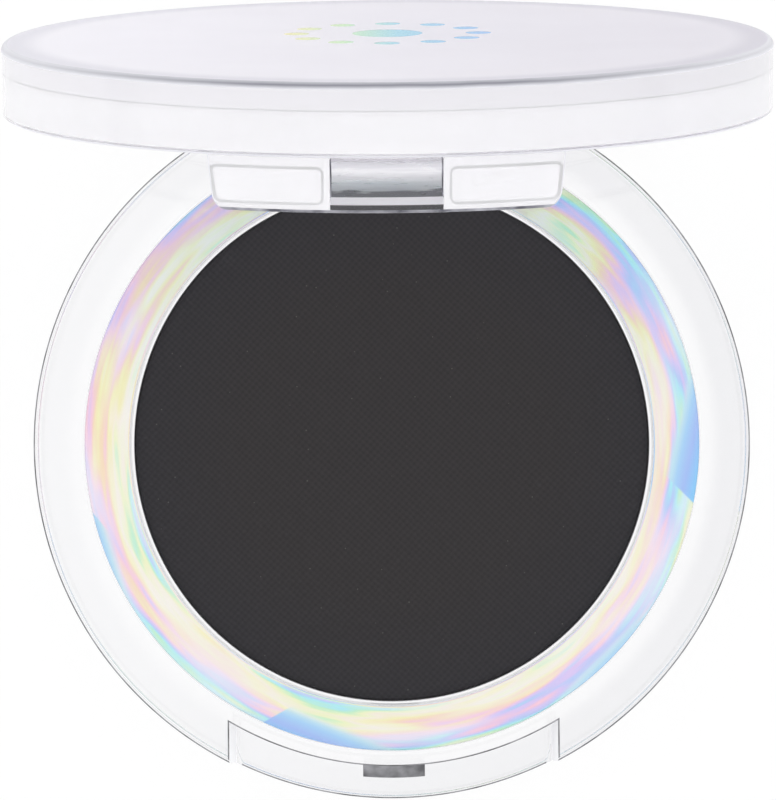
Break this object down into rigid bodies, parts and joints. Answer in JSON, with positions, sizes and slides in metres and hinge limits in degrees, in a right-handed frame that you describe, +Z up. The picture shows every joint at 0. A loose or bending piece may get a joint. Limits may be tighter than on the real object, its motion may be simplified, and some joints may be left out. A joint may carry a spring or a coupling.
{
  "type": "eyeshadow compact",
  "caption": "Round clear compact with a pan of dark pressed eyeshadow, an iridescent ring around the pan and a hinged snap lid that stays where it is put.",
  "frame": {"origin": "centre of the base's underside, on the surface the compact stands on", "axes": "+Z up, -Y towards the snap tab in front, +Y towards the hinge, +X to the right seen from the front; the lid is stored standing open at 80 degrees"},
  "size_m": [0.037, 0.0413, 0.0438],
  "materials": {
    "clear_base": "gloss",
    "clear_lid": "satin",
    "shimmer_film": "gloss",
    "label_paper": "matte",
    "tape": "matte",
    "tinplate": "satin",
    "powder": "matte",
    "pin_steel": "polished",
    "rosette_foil": "polished"
  },
  "bodies": {
    "base": {"base_shell": "clear_base", "shimmer_disc": "shimmer_film", "bottom_label": "label_paper", "pan_adhesive": "tape", "powder_pan": "tinplate", "pressed_powder": "powder", "hinge_pin_left": "pin_steel", "hinge_pin_right": "pin_steel"},
    "lid": {"lid_shell": "clear_lid", "lid_rosette": "rosette_foil"}
  },
  "joints": [
    {"name": "lid_hinge", "type": "hinge", "parent": "base", "child": "lid", "pos_m": [0, 0.0195, 0.00584], "axis": [-1, 0, 0], "range_deg": [-80, 100]}
  ]
}
